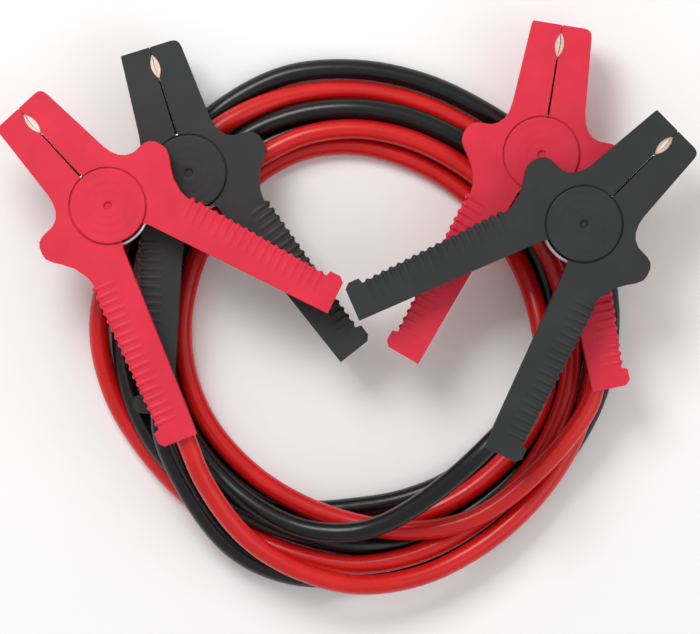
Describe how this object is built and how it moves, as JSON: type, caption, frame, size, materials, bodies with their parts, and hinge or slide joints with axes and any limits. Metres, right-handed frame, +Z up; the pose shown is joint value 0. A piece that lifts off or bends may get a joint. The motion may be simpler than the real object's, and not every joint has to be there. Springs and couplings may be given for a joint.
{
  "type": "car jumper cable",
  "caption": "Coiled pair of car jumper cables, red and black, each with a spring clamp at both ends for the battery posts.",
  "frame": {"origin": "middle of the box of the clamps, halfway up the two clamp levels", "axes": "+Z up from the floor that the coil lies on, +X towards the red and black clamps of the right pair, +Y towards the jaws"},
  "size_m": [0.347, 0.287, 0.0608],
  "materials": {
    "red_plastic": "matte moulded plastic",
    "black_plastic": "matte moulded plastic",
    "red_cable": "glossy soft sheath",
    "black_cable": "glossy soft sheath",
    "copper": "copper plated steel",
    "steel": "bright spring steel"
  },
  "bodies": {
    "coil_side": {"red_left_cable_lever": "red_plastic", "red_left_top_cap": "red_plastic", "red_left_bottom_cap": "red_plastic", "red_left_pin": "steel", "red_left_spring": "steel", "red_left_cable_contact": "copper", "black_left_cable_lever": "black_plastic", "black_left_top_cap": "black_plastic", "black_left_bottom_cap": "black_plastic", "black_left_pin": "steel", "black_left_spring": "steel", "black_left_cable_contact": "copper", "red_right_cable_lever": "red_plastic", "red_right_top_cap": "red_plastic", "red_right_bottom_cap": "red_plastic", "red_right_pin": "steel", "red_right_spring": "steel", "red_right_cable_contact": "copper", "black_right_cable_lever": "black_plastic", "black_right_top_cap": "black_plastic", "black_right_bottom_cap": "black_plastic", "black_right_pin": "steel", "black_right_spring": "steel", "black_right_cable_contact": "copper", "red_cable": "red_cable", "black_cable": "black_cable"},
    "red_left_free_side": {"red_left_free_lever": "red_plastic", "red_left_free_contact": "copper"},
    "black_left_free_side": {"black_left_free_lever": "black_plastic", "black_left_free_contact": "copper"},
    "red_right_free_side": {"red_right_free_lever": "red_plastic", "red_right_free_contact": "copper"},
    "black_right_free_side": {"black_right_free_lever": "black_plastic", "black_right_free_contact": "copper"}
  },
  "joints": [
    {"name": "red_left_squeeze", "type": "hinge", "parent": "coil_side", "child": "red_left_free_side", "pos_m": [-0.11835, 0.0169, 0.0103], "axis": [0, 0, -1], "range_deg": [0, 36], "stiffness_Nm_per_rad": 1.5, "springref_deg": -17.19},
    {"name": "black_left_squeeze", "type": "hinge", "parent": "coil_side", "child": "black_left_free_side", "pos_m": [-0.07885, 0.0339, -0.0103], "axis": [0, 0, -1], "range_deg": [0, 36], "stiffness_Nm_per_rad": 1.5, "springref_deg": -17.19},
    {"name": "red_right_squeeze", "type": "hinge", "parent": "coil_side", "child": "red_right_free_side", "pos_m": [0.09725, 0.0429, -0.0103], "axis": [0, 0, 1], "range_deg": [0, 36], "stiffness_Nm_per_rad": 1.5, "springref_deg": -17.19},
    {"name": "black_right_squeeze", "type": "hinge", "parent": "coil_side", "child": "black_right_free_side", "pos_m": [0.11765, 0.0079, 0.0103], "axis": [0, 0, 1], "range_deg": [0, 36], "stiffness_Nm_per_rad": 1.5, "springref_deg": -17.19}
  ]
}
